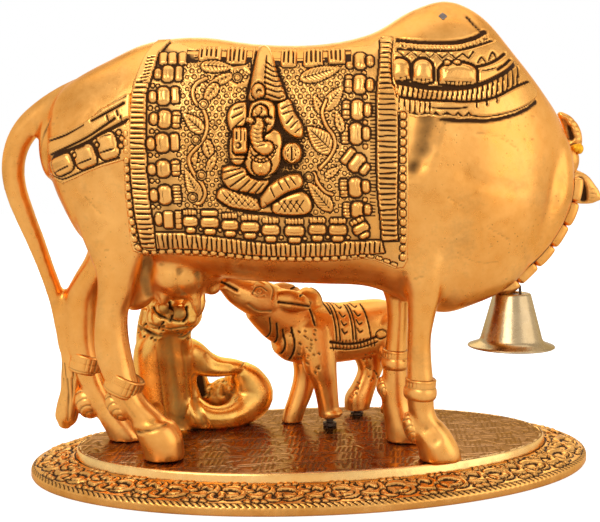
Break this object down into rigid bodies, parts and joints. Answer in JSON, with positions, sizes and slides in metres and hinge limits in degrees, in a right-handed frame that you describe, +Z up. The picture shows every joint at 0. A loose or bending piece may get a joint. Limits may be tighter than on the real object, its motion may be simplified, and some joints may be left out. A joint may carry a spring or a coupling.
{
  "type": "cow and calf figure",
  "caption": "Cast metal figure of a draped cow with a seated child and a calf beneath her, a bell at her chest, on an oval base.",
  "frame": {"origin": "centre of the oval base's underside", "axes": "+X along the base's long axis towards the cow's chest and bell, +Y away from the side with the seated figure relief, +Z up"},
  "size_m": [0.2372, 0.134, 0.1796],
  "materials": {
    "gold_brass": "lacquered warm gold with dark brown patina in the recesses",
    "pale_brass": "plain turned and polished, pale",
    "dark_steel": "dull dark wire and screws"
  },
  "bodies": {
    "root": {"base": "gold_brass", "cow": "gold_brass", "bell": "pale_brass", "bell_wire": "dark_steel", "seated_child": "gold_brass", "calf": "gold_brass", "calf_screw_front": "dark_steel", "calf_screw_hind_left": "dark_steel", "calf_screw_hind_right": "dark_steel"}
  },
  "joints": []
}
